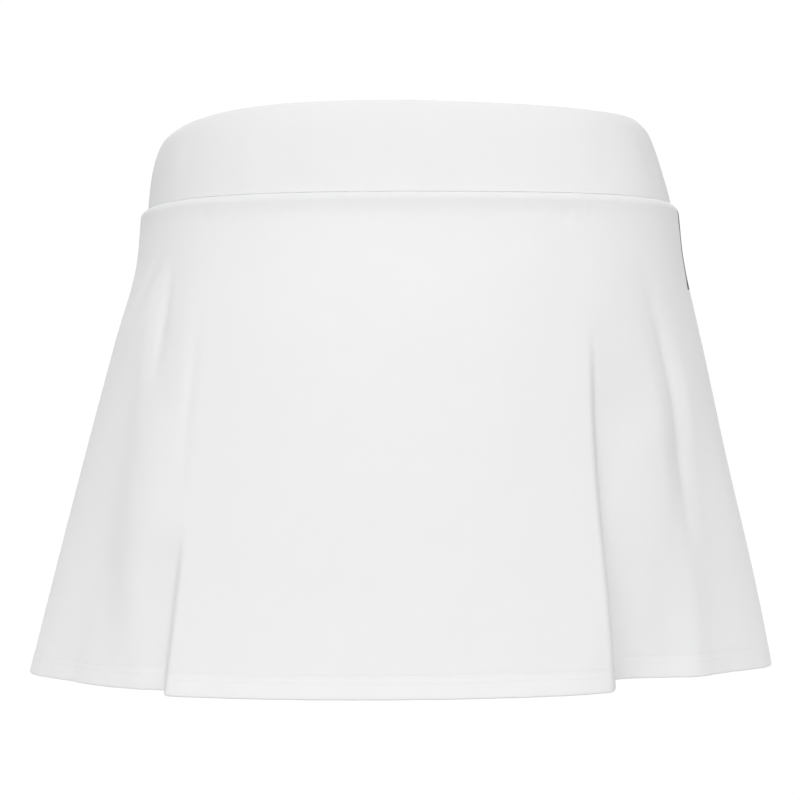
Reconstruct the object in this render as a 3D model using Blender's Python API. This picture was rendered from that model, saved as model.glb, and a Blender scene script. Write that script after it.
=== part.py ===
"""Tennis skirt in its worn, filled-out form: a doubled waistband over a flared A-line skirt.

The front faces -Y and +Z is up. Left and right are as seen from the front, so right is +X. The
origin is the middle of the waist opening, halfway up the waistband. Sizes are in millimetres and
become metres when a mesh is made. A drop is a height below the waist seam, negative on the
waistband. Bearings are degrees round the waist: 0 at the front, 90 on the right, 180 at the back.
"""
from collections import namedtuple
import math

import bmesh
import bpy
import numpy as np

MM = 0.001

# Driving sizes
WAISTBAND_HEIGHT = 52.0
SKIRT_LENGTH = 283.0
SKIRT_CLOTH = 1.2
WAISTBAND_CLOTH = 2.4
HEM_CLOTH = 2.2
HEM_DEPTH = 13.0
SEAM_GAP = 0.3
SIDE_SEAM_BEARING = 90.0

# The skirt is cut wider than the waistband: its cloth starts under the middle of the band's wall
# and rolls out to stand proud of the band.
ROLL_START = 1.2
ROLL_PROUD = 4.0
ROLL_HEIGHT = 5.0

# How far the band's rim and the waist seam sag at each side, and how near the side they do.
Sag = namedtuple("Sag", "depth sharpness")
RIM_SAG = {"left": Sag(8.5, 4), "right": Sag(5.0, 1.2)}
SEAM_SAG = {"left": Sag(3.5, 8), "right": Sag(2.3, 8)}

# Half sizes of the oval at each level. right_corner squares up the oval's front right corner.
Level = namedtuple("Level", "drop left right front back right_corner")
LEVELS = (
    Level(-WAISTBAND_HEIGHT, 138.0, 142.0, 98.0, 104.0, 0.10),
    Level(-45.0, 145.7, 148.0, 99.5, 105.5, 0.10),
    Level(-36.0, 149.6, 151.7, 101.0, 107.0, 0.10),
    Level(-20.0, 153.0, 156.6, 103.0, 109.0, 0.10),
    Level(0.0, 155.0, 161.6, 105.0, 112.0, 0.10),
    Level(30.0, 157.5, 165.5, 106.5, 116.0, 0.08),
    Level(80.0, 170.8, 176.8, 112.5, 121.0, 0.03),
    Level(176.0, 196.7, 197.7, 125.0, 134.0, 0.00),
    Level(SKIRT_LENGTH, 226.4, 225.5, 138.2, 150.0, 0.00),
)

# Folds that press the cloth in, more and more from the onset's drop down to the hem. before and
# after are the half widths in degrees towards smaller and larger bearings, the shares say how much
# of each is there at the onset, and lean gathers the cloth sideways to the fold's line. The crest
# beside the narrower half is soft where crest_power is 2, and sharper the closer it is to 1.
Fold = namedtuple("Fold", "name bearing depth before after lean onset before_share after_share "
                  "crest_power")
FOLDS = (
    Fold("right_hollow", 61.8, 23.8, 40.0, 40.8, 0.0, 110.0, 0.30, 0.30, 2.0),
    Fold("right_fold", 36.1, 28.1, 4.9, 23.2, 3.0, 70.0, 0.20, 0.90, 1.15),
    Fold("left_hollow", -64.0, 16.4, 36.2, 22.7, 0.0, 50.0, 0.50, 0.50, 2.0),
    Fold("left_fold", -38.7, 14.9, 23.5, 3.0, 1.0, 165.0, 0.90, 0.50, 1.3),
    Fold("back_left_hollow", -117.0, 19.0, 30.0, 24.0, 0.0, 45.0, 0.50, 0.50, 2.0),
    Fold("back_left_fold", -139.0, 18.0, 8.0, 20.0, 2.0, 60.0, 0.40, 0.70, 1.4),
    Fold("back_middle_fold", 174.0, 7.0, 24.0, 20.0, 0.0, 90.0, 0.50, 0.50, 2.0),
    Fold("back_right_hollow", 119.0, 20.0, 27.0, 34.0, 0.0, 45.0, 0.45, 0.45, 2.0),
    Fold("back_right_fold", 143.0, 20.0, 20.0, 9.0, -2.0, 55.0, 0.70, 0.45, 1.4),
)
FOLD_SOFTNESS = 1.0
SOFTENING = ((-1, 0.0625), (-0.5, 0.25), (0, 0.375), (0.5, 0.25), (1, 0.0625))
# Cloth that is pressed in rises by this share of the depth, and the hem hangs slightly askew.
FOLD_RISE = 0.07
HEM_TILT = 2.0

# Short grooves below the hips that fade out at both ends, each on a curved line through three
# bearings. half_width is in degrees.
Groove = namedtuple("Groove", "name top middle foot top_drop foot_drop half_width depth")
GROOVES = (
    Groove("right_groove", 46.5, 57.5, 55.0, 25.0, 235.0, 7.0, 3.5),
    Groove("left_groove", -57.0, -53.5, -50.0, 20.0, 150.0, 8.0, 2.5),
    Groove("back_right_groove", 112.0, 114.0, 116.0, 25.0, 190.0, 8.0, 3.0),
    Groove("back_left_groove", -110.0, -113.0, -116.0, 20.0, 170.0, 8.0, 2.5),
)

# Cross-section of each wall from its top edge to its bottom edge: how far the outer and the
# inner face lie inside the outline at each drop. The ends are rounded, the hem is doubled.
Row = namedtuple("Row", "drop outer inner")
WAISTBAND_ROWS = (
    Row(-WAISTBAND_HEIGHT, 0.7, 1.7),
    Row(-WAISTBAND_HEIGHT + 0.8, 0.0, WAISTBAND_CLOTH),
    *(Row(drop, 0.0, WAISTBAND_CLOTH) for drop in (-45.0, -36.0, -20.0, 0.0)),
)
ROLL_DROPS = (SEAM_GAP, 0.7, 1.6, 3.0, 5.5)
SKIRT_DROPS = (15.0, 32.0, 55.0, 80.0, 110.0, 142.0, 176.0, 210.0, 242.0)
HEM_TOP = SKIRT_LENGTH - HEM_DEPTH
SKIRT_ROWS = (
    *(Row(drop, 0.0, SKIRT_CLOTH) for drop in ROLL_DROPS + SKIRT_DROPS),
    Row(HEM_TOP - 0.6, 0.0, SKIRT_CLOTH),
    Row(HEM_TOP, 0.0, HEM_CLOTH),
    Row(SKIRT_LENGTH - 0.8, 0.0, HEM_CLOTH),
    Row(SKIRT_LENGTH, 0.6, 1.6),
)

# Columns of each panel. Spacing them counts one radian of turn as this many millimetres.
WAISTBAND_COLUMNS = 40
SKIRT_COLUMNS = 72
TURN_LENGTH = 9.0

CLOTH_WHITE = (0.87, 0.87, 0.88)
CLOTH_ROUGHNESS = 0.85


def remove_old_objects():
    for old in list(bpy.data.objects):
        bpy.data.objects.remove(old, do_unlink=True)


def size_at(drop, column):
    """Size in one column of LEVELS at a drop, on a smooth curve that never overshoots its rows."""
    drops = np.array([level.drop for level in LEVELS])
    sizes = np.array([getattr(level, column) for level in LEVELS])
    steps = np.diff(drops)
    slopes = np.diff(sizes) / steps
    bends = np.concatenate(([slopes[0]], np.zeros(len(steps) - 1), [slopes[-1]]))
    for row in range(1, len(steps)):
        before, after = slopes[row - 1], slopes[row]
        if before * after > 0:
            bends[row] = 2 * before * after / (before + after)
    row = int(np.clip(np.searchsorted(drops, drop) - 1, 0, len(steps) - 1))
    along = (drop - drops[row]) / steps[row]
    start = (1 + 2 * along) * (1 - along) ** 2 * sizes[row]
    start_bend = along * (1 - along) ** 2 * steps[row] * bends[row]
    end = along ** 2 * (3 - 2 * along) * sizes[row + 1]
    end_bend = along ** 2 * (along - 1) * steps[row] * bends[row + 1]
    return start + start_bend + end + end_bend


def across_fold(bearing, centre, before, after):
    """How far each bearing lies across a fold: 0 on its line, -1 and 1 at its two edges."""
    away = (bearing - centre + 180) % 360 - 180
    return np.clip(away / np.where(away < 0, before, after), -1, 1)


def fold_push(bearing, drop):
    """Inward and sideways push of the folds that run to the hem."""
    inward, sideways = np.zeros_like(bearing), np.zeros_like(bearing)
    for fold in FOLDS:
        grown = np.clip((drop - fold.onset) / (SKIRT_LENGTH - fold.onset), 0, 1)
        grown *= math.sqrt(min(4 * grown, 1))
        before = fold.before * (fold.before_share + (1 - fold.before_share) * grown)
        after = fold.after * (fold.after_share + (1 - fold.after_share) * grown)
        across = across_fold(bearing, fold.bearing, before, after)
        power = np.where((across < 0) == (before < after), fold.crest_power, 2)
        inward += fold.depth * grown * np.cos(math.pi * across / 2) ** power
        sideways -= fold.lean * grown * np.sin(math.pi * across)
    return inward, sideways


def groove_push(bearing, drop):
    """Inward push of the short grooves."""
    inward = np.zeros_like(bearing)
    for groove in GROOVES:
        down = (drop - groove.top_drop) / (groove.foot_drop - groove.top_drop)
        if 0 < down < 1:
            centre = (groove.top * (1 - down) * (1 - 2 * down) + groove.foot * down * (2 * down - 1)
                      + groove.middle * 4 * down * (1 - down))
            across = across_fold(bearing, centre, groove.half_width, groove.half_width)
            depth = groove.depth * math.sin(math.pi * down) ** 2
            inward += depth * np.cos(math.pi * across / 2) ** 2
    return inward


def cloth_push(bearing, drop):
    """Inward and sideways push of all folds and grooves, with the folds' edges softened."""
    inward, sideways = groove_push(bearing, drop), np.zeros_like(bearing)
    for nudge, weight in SOFTENING:
        fold_inward, fold_sideways = fold_push(bearing + FOLD_SOFTNESS * nudge, drop)
        inward += weight * fold_inward
        sideways += weight * fold_sideways
    return inward, sideways


def sag(turn, drop):
    """How far a level dips below its drop towards the sides."""
    sine = np.sin(turn)

    def dip(sides):
        left, right = sides["left"], sides["right"]
        return np.where(sine < 0, left.depth * abs(sine) ** left.sharpness,
                        right.depth * abs(sine) ** right.sharpness)

    if drop < 0:
        share = -drop / WAISTBAND_HEIGHT
        return share * dip(RIM_SAG) + (1 - share) * dip(SEAM_SAG)
    return (1 - drop / SKIRT_LENGTH) * dip(SEAM_SAG)


def outline(bearing, drop):
    """Points of the garment's outer face at the given bearings and one drop."""
    turn = np.radians(bearing)
    sine, cosine = np.sin(turn), np.cos(turn)
    half_x = np.where(sine > 0, size_at(drop, "right"), size_at(drop, "left"))
    half_y = np.where(cosine > 0, size_at(drop, "front"), size_at(drop, "back"))
    corner = np.where((sine > 0) & (cosine > 0), size_at(drop, "right_corner"), 0)
    swell = 1 + corner * np.sin(2 * turn) ** 2
    x, y = half_x * sine * swell, -half_y * cosine * swell
    z = -drop - sag(turn, drop) - WAISTBAND_HEIGHT / 2
    if drop > 0:
        out = np.stack([sine / half_x, -cosine / half_y])
        out /= np.hypot(*out)
        inward, sideways = cloth_push(bearing, drop)
        unrolled = 1 - np.clip((drop - SEAM_GAP) / ROLL_HEIGHT, 0, 1)
        rolled_out = (ROLL_START + ROLL_PROUD) * math.sqrt(1 - unrolled ** 2) - ROLL_START
        pushed = rolled_out - inward
        x = x + out[0] * pushed - out[1] * sideways
        y = y + out[1] * pushed + out[0] * sideways
        z = z + FOLD_RISE * inward + HEM_TILT * sine * drop / SKIRT_LENGTH
    return np.stack([x, y, z], axis=-1)


def outward(bearing, drop):
    """Unit vectors that point away from the cloth's outer face."""
    round_step, down_step = 0.25, 0.4
    low = max(drop - down_step, SEAM_GAP) if drop > 0 else drop - down_step
    high = drop + down_step if drop > 0 else min(drop + down_step, 0)
    across = outline(bearing + round_step, drop) - outline(bearing - round_step, drop)
    down = outline(bearing, high) - outline(bearing, low)
    normal = np.cross(down, across)
    return normal / np.linalg.norm(normal, axis=-1, keepdims=True)


def even_bearings(first, last, columns, drop):
    """Bearings that are close together where the cloth turns and further apart where it is flat."""
    fine = np.linspace(first, last, 1441)
    points = outline(fine, drop)[:, :2]
    steps = np.diff(points, axis=0)
    heading = np.unwrap(np.arctan2(steps[:, 1], steps[:, 0]))
    turning = np.abs(np.diff(heading, append=heading[-1]))
    cost = np.hypot(steps[:, 0], steps[:, 1]) + TURN_LENGTH * turning
    travelled = np.concatenate(([0], np.cumsum(cost)))
    return np.interp(np.linspace(0, travelled[-1], columns), travelled, fine)


def wall_faces(columns, rows, spacing_drop, first, last):
    """Outer and inner points of one panel, as arrays of rows by columns, trimmed at its seams."""
    bearings = even_bearings(first, last, columns, spacing_drop)
    outer, inner = [], []
    for row in rows:
        points = outline(bearings, row.drop)
        normals = outward(bearings, row.drop)
        along = outline(bearings + 0.25, row.drop) - outline(bearings - 0.25, row.drop)
        along /= np.linalg.norm(along, axis=-1, keepdims=True)
        trim = np.zeros((columns, 1))
        trim[0], trim[-1] = SEAM_GAP / 2, -SEAM_GAP / 2
        points = points + along * trim
        if row.drop <= 0:
            normals[:, 2] = 0
        outer.append(points - normals * row.outer)
        inner.append(points - normals * row.inner)
    return np.array(outer), np.array(inner)


def cloth_material(name):
    material = bpy.data.materials.new(name + "_cloth")
    material.use_nodes = True
    shader = material.node_tree.nodes["Principled BSDF"]
    shader.inputs["Base Color"].default_value = (*CLOTH_WHITE, 1)
    shader.inputs["Roughness"].default_value = CLOTH_ROUGHNESS
    shader.inputs["Metallic"].default_value = 0
    return material


def cloth_panel(name, columns, rows, spacing_drop, first, last):
    """One closed wall of cloth between two side seams."""
    outer_points, inner_points = wall_faces(columns, rows, spacing_drop, first, last)
    bm = bmesh.new()

    def sheet(points):
        return [[bm.verts.new(MM * point) for point in row] for row in points]

    outer, inner = sheet(outer_points), sheet(inner_points)
    last_row, last_column = len(rows) - 1, columns - 1
    for row in range(last_row):
        for column in range(last_column):
            below, beside = row + 1, column + 1
            bm.faces.new((outer[row][column], outer[below][column],
                          outer[below][beside], outer[row][beside]))
            bm.faces.new((inner[row][column], inner[row][beside],
                          inner[below][beside], inner[below][column]))
    for column in range(last_column):
        beside = column + 1
        bm.faces.new((outer[0][column], outer[0][beside], inner[0][beside], inner[0][column]))
        bm.faces.new((outer[last_row][column], inner[last_row][column],
                      inner[last_row][beside], outer[last_row][beside]))
    for row in range(last_row):
        below = row + 1
        bm.faces.new((outer[row][0], inner[row][0], inner[below][0], outer[below][0]))
        bm.faces.new((outer[row][last_column], outer[below][last_column],
                      inner[below][last_column], inner[row][last_column]))
    bmesh.ops.recalc_face_normals(bm, faces=bm.faces[:])

    mesh = bpy.data.meshes.new(name)
    bm.to_mesh(mesh)
    bm.free()
    mesh.shade_smooth()
    mesh.set_sharp_from_angle(angle=math.radians(40))
    mesh.materials.append(cloth_material(name))
    panel = bpy.data.objects.new(name, mesh)
    bpy.context.scene.collection.objects.link(panel)
    return panel


def make_waistband():
    """A band of cloth folded double over its elastic, in a front and a back piece."""
    side = SIDE_SEAM_BEARING
    cloth_panel("waistband_front", WAISTBAND_COLUMNS, WAISTBAND_ROWS, 0, -side, side)
    cloth_panel("waistband_back", WAISTBAND_COLUMNS, WAISTBAND_ROWS, 0, side, 360 - side)


def make_skirt():
    """The flared front and back, joined at the side seams, with a turned-up hem."""
    side = SIDE_SEAM_BEARING
    cloth_panel("skirt_front", SKIRT_COLUMNS, SKIRT_ROWS, SKIRT_LENGTH, -side, side)
    cloth_panel("skirt_back", SKIRT_COLUMNS, SKIRT_ROWS, SKIRT_LENGTH, side, 360 - side)


remove_old_objects()
make_waistband()
make_skirt()
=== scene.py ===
from collections import namedtuple
import math

import bpy
import numpy as np
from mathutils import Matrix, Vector


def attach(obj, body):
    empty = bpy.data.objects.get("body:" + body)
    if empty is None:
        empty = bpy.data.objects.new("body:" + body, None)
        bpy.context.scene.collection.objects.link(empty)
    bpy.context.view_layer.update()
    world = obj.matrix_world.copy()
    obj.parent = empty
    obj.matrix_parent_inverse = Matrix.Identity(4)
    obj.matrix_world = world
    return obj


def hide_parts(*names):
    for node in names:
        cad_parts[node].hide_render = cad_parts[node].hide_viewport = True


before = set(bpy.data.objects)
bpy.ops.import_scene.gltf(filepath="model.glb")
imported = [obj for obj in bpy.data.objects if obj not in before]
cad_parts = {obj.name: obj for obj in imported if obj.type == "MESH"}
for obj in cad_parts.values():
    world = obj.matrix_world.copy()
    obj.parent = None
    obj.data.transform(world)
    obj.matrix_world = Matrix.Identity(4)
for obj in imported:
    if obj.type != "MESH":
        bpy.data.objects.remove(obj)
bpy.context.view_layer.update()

# The tennis skirt is sewn from white smooth knit: a flared front and back, a doubled waistband in
# two halves, overlocked side and waist seams, and a hem turned up and coverstitched. Sizes are in
# millimetres and become metres when a mesh is made. The front faces -Y, right is +X. A drop is a
# height below the waist seam, negative on the waistband. Bearings are degrees round the waist:
# 0 at the front, 90 on the right, 180 at the back.
MM = 0.001


# --------------------------------------------------
# The studio: a level camera at the skirt's mid height, a white room that is brightest high in
# front and behind, one broad soft light in front, and a low soft light on each side.
# --------------------------------------------------
CAMERA_PLACE = (-0.0018, -1.4, -0.1445)
CAMERA_TURN = (math.radians(90), 0, 0)
CAMERA_LENS = 103.3
CAMERA_SENSOR = 36.0
CAMERA_CLIP = (0.05, 50.0)
SIDE_LIGHT = 0.46
FACING_LIGHT = 2.2
FACING_HEIGHT = math.radians(30)
FACING_SHARPNESS = 6.0
BACKDROP_WHITE = 1.02

Lamp = namedtuple("Lamp", "name place aim size power")
LAMPS = (
    Lamp("front_light", (-0.4, -2.6, 0.5), (0, 0, -0.15), 1.8, 9.0),
    Lamp("left_low_light", (-0.46, 0, -0.46), (-0.2, 0, -0.25), 0.3, 0.20),
    Lamp("right_low_light", (0.46, 0, -0.46), (0.2, 0, -0.25), 0.3, 0.20),
)

camera_data = bpy.data.cameras.new("camera")
camera_data.lens = CAMERA_LENS
camera_data.sensor_width = CAMERA_SENSOR
camera_data.clip_start, camera_data.clip_end = CAMERA_CLIP
camera = bpy.data.objects.new("camera", camera_data)
camera.location = CAMERA_PLACE
camera.rotation_euler = CAMERA_TURN
bpy.context.scene.collection.objects.link(camera)
bpy.context.scene.camera = camera
bpy.context.scene.view_settings.view_transform = "Standard"


def node_adder(tree):
    """A function that adds a node to the tree, sets or links its inputs, and gives an output."""

    def add(kind, inputs, output=0, **settings):
        node = tree.nodes.new(kind)
        for key, value in settings.items():
            setattr(node, key, value)
        for key, value in inputs.items():
            if isinstance(value, bpy.types.NodeSocket):
                tree.links.new(value, node.inputs[key])
            else:
                node.inputs[key].default_value = value
        return node.outputs[output] if node.outputs else None

    return add


def maths_adder(add):
    """A function that adds a maths node with its values, and gives its result."""
    return lambda operation, *values: add("ShaderNodeMath", dict(enumerate(values)),
                                          operation=operation)


def light_the_room():
    """White light, strongest from high in front and high behind, and an even white where the
    room itself is seen."""
    world = bpy.data.worlds.new("white_room")
    world.use_nodes = True
    world.node_tree.nodes.clear()
    add = node_adder(world.node_tree)
    maths = maths_adder(add)
    white = (1, 1, 1, 1)
    direction = add("ShaderNodeTexCoord", {}, output="Generated")
    ahead = add("ShaderNodeSeparateXYZ", {0: direction}, output="Y")
    height = add("ShaderNodeSeparateXYZ", {0: direction}, output="Z")
    level = maths("ABSOLUTE", ahead)
    raised = maths("MULTIPLY", height, math.sin(FACING_HEIGHT))
    facing = maths("MULTIPLY_ADD", level, math.cos(FACING_HEIGHT), raised)
    facing = maths("POWER", maths("MAXIMUM", facing, 0.0), FACING_SHARPNESS)
    strength = maths("MULTIPLY_ADD", facing, FACING_LIGHT, SIDE_LIGHT)
    room = add("ShaderNodeBackground", {"Color": white, "Strength": strength})
    backdrop = add("ShaderNodeBackground", {"Color": white, "Strength": BACKDROP_WHITE})
    seen = add("ShaderNodeLightPath", {}, output="Is Camera Ray")
    both = add("ShaderNodeMixShader", {0: seen, 1: room, 2: backdrop})
    add("ShaderNodeOutputWorld", {"Surface": both})
    bpy.context.scene.world = world


def soft_light(name, place, aim, size, power):
    """A square area light that faces a point and isn't seen itself."""
    data = bpy.data.lights.new(name, "AREA")
    data.shape = "SQUARE"
    data.size = size
    data.energy = power
    light = bpy.data.objects.new(name, data)
    light.location = place
    light.rotation_mode = "QUATERNION"
    light.rotation_quaternion = (Vector(aim) - Vector(place)).to_track_quat("-Z", "Y")
    light.visible_camera = False
    bpy.context.scene.collection.objects.link(light)


light_the_room()
for lamp in LAMPS:
    soft_light(*lamp)


# --------------------------------------------------
# The skirt's front and back: two flared panels of single smooth knit, wider at the top than the
# waistband, so that they roll over at the waist seam. The form is the cut's on a general figure:
# an oval that flares, folds that press in towards the hem, and short grooves under the hips.
# --------------------------------------------------
WAISTBAND_HEIGHT = 52.0
SKIRT_LENGTH = 283.0
SEAM_DROP = 0.7
SIDE_SEAM_BEARING = 90.0
ROLL_START = 0.45
ROLL_PROUD = 4.0
ROLL_HEIGHT = 5.0
KNIT_THICKNESS = 0.7
HEM_DEPTH = 13.0
HEM_TOP = SKIRT_LENGTH - HEM_DEPTH

Sag = namedtuple("Sag", "depth sharpness")
RIM_SAG = {"left": Sag(8.5, 4), "right": Sag(5.0, 1.2)}
SEAM_SAG = {"left": Sag(3.5, 8), "right": Sag(2.3, 8)}

# Half sizes of the oval at each level. right_corner squares up its front right corner.
Level = namedtuple("Level", "drop left right front back right_corner")
LEVELS = (
    Level(-WAISTBAND_HEIGHT, 138.0, 142.0, 98.0, 104.0, 0.10),
    Level(-45.0, 145.7, 148.0, 99.5, 105.5, 0.10),
    Level(-36.0, 149.6, 151.7, 101.0, 107.0, 0.10),
    Level(-20.0, 153.0, 156.6, 103.0, 109.0, 0.10),
    Level(0.0, 155.0, 161.6, 105.0, 112.0, 0.10),
    Level(30.0, 157.5, 165.5, 106.5, 116.0, 0.08),
    Level(80.0, 170.8, 176.8, 112.5, 121.0, 0.03),
    Level(176.0, 196.7, 197.7, 125.0, 134.0, 0.00),
    Level(SKIRT_LENGTH, 226.4, 225.5, 138.2, 150.0, 0.00),
)

# Folds that press the cloth in, more and more from the onset down to the hem. before and after
# are half widths in degrees, the shares say how much of each is there at the onset, and lean
# gathers the cloth sideways to the fold's line. The crest beside the narrower half is soft where
# crest_power is 2, and sharper the closer it is to 1.
Fold = namedtuple("Fold", "name bearing depth before after lean onset before_share after_share "
                  "crest_power")
FOLDS = (
    Fold("right_hollow", 61.8, 23.8, 40.0, 40.8, 0.0, 110.0, 0.30, 0.30, 2.0),
    Fold("right_fold", 35.8, 28.1, 4.4, 23.2, 3.0, 70.0, 0.20, 0.90, 1.15),
    Fold("left_hollow", -64.0, 16.4, 36.2, 22.7, 0.0, 50.0, 0.50, 0.50, 2.0),
    Fold("left_fold", -38.4, 14.9, 23.5, 2.7, 0.9, 185.0, 0.90, 0.50, 1.2),
    Fold("back_left_hollow", -117.0, 19.0, 30.0, 24.0, 0.0, 45.0, 0.50, 0.50, 2.0),
    Fold("back_left_fold", -139.0, 18.0, 8.0, 20.0, 2.0, 60.0, 0.40, 0.70, 1.4),
    Fold("back_middle_fold", 174.0, 7.0, 24.0, 20.0, 0.0, 90.0, 0.50, 0.50, 2.0),
    Fold("back_right_hollow", 119.0, 20.0, 27.0, 34.0, 0.0, 45.0, 0.45, 0.45, 2.0),
    Fold("back_right_fold", 143.0, 20.0, 20.0, 9.0, -2.0, 55.0, 0.70, 0.45, 1.4),
)
FOLD_SOFTNESS = 0.8
SOFTENING = ((-1, 0.0625), (-0.5, 0.25), (0, 0.375), (0.5, 0.25), (1, 0.0625))
FOLD_RISE = 0.07
HEM_TILT = 2.0

# Creases that fade out at both ends, each on a curved line through three bearings: grooves where
# depth is positive, ridges where it is negative. half_width is in degrees. One whose foot_drop is
# past the hem runs out through it.
Crease = namedtuple("Crease", "name top middle foot top_drop foot_drop half_width depth")
CREASES = (
    Crease("right_groove", 46.5, 57.5, 55.0, 25.0, 235.0, 7.0, 3.5),
    Crease("left_groove", -57.0, -53.5, -50.0, 20.0, 150.0, 8.0, 2.5),
    Crease("back_right_groove", 112.0, 114.0, 116.0, 25.0, 190.0, 8.0, 3.0),
    Crease("back_left_groove", -110.0, -113.0, -116.0, 20.0, 170.0, 8.0, 2.5),
    Crease("right_groove_line", 46.5, 57.5, 57.0, 25.0, 225.0, 2.4, 1.3),
    Crease("right_groove_lip", 50.5, 61.0, 60.5, 35.0, 200.0, 3.0, -0.6),
    Crease("right_edge", 38.0, 34.0, 24.0, -20.0, 480.0, 3.2, -0.15),
    Crease("left_edge", -40.5, -36.0, -27.0, 20.0, 420.0, 3.6, -0.15),
    Crease("left_edge_line", -44.0, -41.5, -39.0, 45.0, 195.0, 2.2, 0.9),
    Crease("left_groove_line", -57.0, -55.0, -53.5, 25.0, 120.0, 2.4, 1.0),
    Crease("left_groove_lip", -53.0, -51.0, -49.0, 30.0, 125.0, 2.6, -0.4),
    Crease("left_hip_drag", -57.5, -66.0, -76.0, 18.0, 75.0, 4.5, 1.3),
    Crease("left_hip_lip", -55.0, -64.0, -72.0, 34.0, 95.0, 5.0, -0.9),
    Crease("right_hip_drag", 66.0, 76.0, 86.0, 28.0, 90.0, 5.0, 0.8),
    Crease("left_low_hollow", -60.0, -54.0, -49.0, 160.0, 330.0, 9.0, 2.0),
    Crease("right_low_hollow", 52.0, 51.0, 49.0, 175.0, 330.0, 7.0, 2.0),
    Crease("back_right_line", 113.0, 116.5, 117.0, 30.0, 150.0, 2.8, 0.9),
    Crease("back_left_line", -112.0, -114.0, -118.0, 30.0, 140.0, 2.8, 0.8),
    Crease("back_middle_line", 171.0, 174.0, 174.0, 60.0, 230.0, 5.0, 1.0),
)
# Small puckers under the waist seam, each with the values of a crease.
PUCKERS = (
    (33.0, 31.5, 31.0, 2.0, 24.0, 1.6, 0.5),
    (36.5, 36.5, 36.0, 3.0, 18.0, 1.2, 0.4),
    (-12.5, -12.5, -12.0, 2.0, 14.0, 1.3, 0.3),
    (22.5, 23.0, 23.5, 2.0, 16.0, 1.3, 0.3),
    (-47.0, -46.0, -46.0, 2.0, 22.0, 1.8, 0.5),
    (71.0, 71.0, 70.0, 2.0, 26.0, 2.0, 0.6),
    (-74.0, -73.5, -72.0, 2.0, 20.0, 1.8, 0.5),
    (103.0, 103.0, 104.0, 2.0, 24.0, 2.0, 0.6),
    (131.0, 130.0, 129.0, 2.0, 17.0, 1.5, 0.4),
    (152.0, 153.0, 153.0, 2.0, 22.0, 1.6, 0.5),
    (-163.0, -162.0, -162.0, 2.0, 15.0, 1.3, 0.4),
    (-140.0, -140.0, -141.0, 2.0, 25.0, 1.8, 0.5),
    (-101.0, -102.5, -103.0, 2.0, 21.0, 1.8, 0.5),
)
CREASES += tuple(Crease("seam_pucker", *pucker) for pucker in PUCKERS)
# The stitched hem ripples a little: length of one ripple in degrees, its depth, and a shift.
Ripple = namedtuple("Ripple", "length depth shift")
HEM_RIPPLES = (Ripple(9.7, 0.16, 20.0), Ripple(6.1, 0.12, 140.0), Ripple(3.7, 0.07, 250.0))
HEM_RIPPLE_REACH = 22.0

# Columns of each panel between its side seams, and the millimetres one radian of turn counts as.
SKIRT_COLUMNS = 280
FINE_BEARINGS = 1441
TURN_LENGTH = 9.0
ROW_SPACING = 2.7
ONE_DEGREE = np.array([-0.5, 0.5])
# Small steps round and down the skirt that give its direction at a point.
ROUND_STEP = 0.25
DOWN_STEP = 0.4


def size_at(drop, column):
    """Size in one column of LEVELS at a drop, on a smooth curve that never overshoots its rows."""
    drops = np.array([level.drop for level in LEVELS])
    sizes = np.array([getattr(level, column) for level in LEVELS])
    steps = np.diff(drops)
    slopes = np.diff(sizes) / steps
    bends = np.concatenate(([slopes[0]], np.zeros(len(steps) - 1), [slopes[-1]]))
    for row in range(1, len(steps)):
        before, after = slopes[row - 1], slopes[row]
        if before * after > 0:
            bends[row] = 2 * before * after / (before + after)
    row = int(np.clip(np.searchsorted(drops, drop) - 1, 0, len(steps) - 1))
    along = (drop - drops[row]) / steps[row]
    start = (1 + 2 * along) * (1 - along) ** 2 * sizes[row]
    start_bend = along * (1 - along) ** 2 * steps[row] * bends[row]
    end = along ** 2 * (3 - 2 * along) * sizes[row + 1]
    end_bend = along ** 2 * (along - 1) * steps[row] * bends[row + 1]
    return start + start_bend + end + end_bend


def across_fold(bearing, centre, before, after):
    """How far each bearing lies across a fold: 0 on its line, -1 and 1 at its two edges."""
    away = (bearing - centre + 180) % 360 - 180
    return np.clip(away / np.where(away < 0, before, after), -1, 1)


def fold_push(bearing, drop):
    """Inward and sideways push of the folds that run to the hem."""
    inward, sideways = np.zeros_like(bearing), np.zeros_like(bearing)
    for fold in FOLDS:
        grown = np.clip((drop - fold.onset) / (SKIRT_LENGTH - fold.onset), 0, 1)
        grown *= math.sqrt(min(4 * grown, 1))
        before = fold.before * (fold.before_share + (1 - fold.before_share) * grown)
        after = fold.after * (fold.after_share + (1 - fold.after_share) * grown)
        across = across_fold(bearing, fold.bearing, before, after)
        steeper = (across < 0) == (before < after)
        power = np.where(steeper, fold.crest_power, 2)
        inward += fold.depth * grown * np.cos(math.pi * across / 2) ** power
        sideways -= fold.lean * grown * np.sin(math.pi * across)
    return inward, sideways


def crease_push(bearing, drop):
    """Inward push of the creases and of the hem's ripples."""
    inward = np.zeros_like(bearing)
    for crease in CREASES:
        down = (drop - crease.top_drop) / (crease.foot_drop - crease.top_drop)
        if 0 < down < 1:
            centre = (crease.top * (1 - down) * (1 - 2 * down) + crease.foot * down * (2 * down - 1)
                      + crease.middle * 4 * down * (1 - down))
            across = across_fold(bearing, centre, crease.half_width, crease.half_width)
            depth = crease.depth * math.sin(math.pi * down) ** 2
            inward += depth * np.cos(math.pi * across / 2) ** 2
    near_hem = np.clip(1 - (SKIRT_LENGTH - drop) / HEM_RIPPLE_REACH, 0, 1)
    for ripple in HEM_RIPPLES:
        turn = 2 * math.pi * (bearing + ripple.shift) / ripple.length
        inward += near_hem * ripple.depth * np.sin(turn)
    return inward


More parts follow.
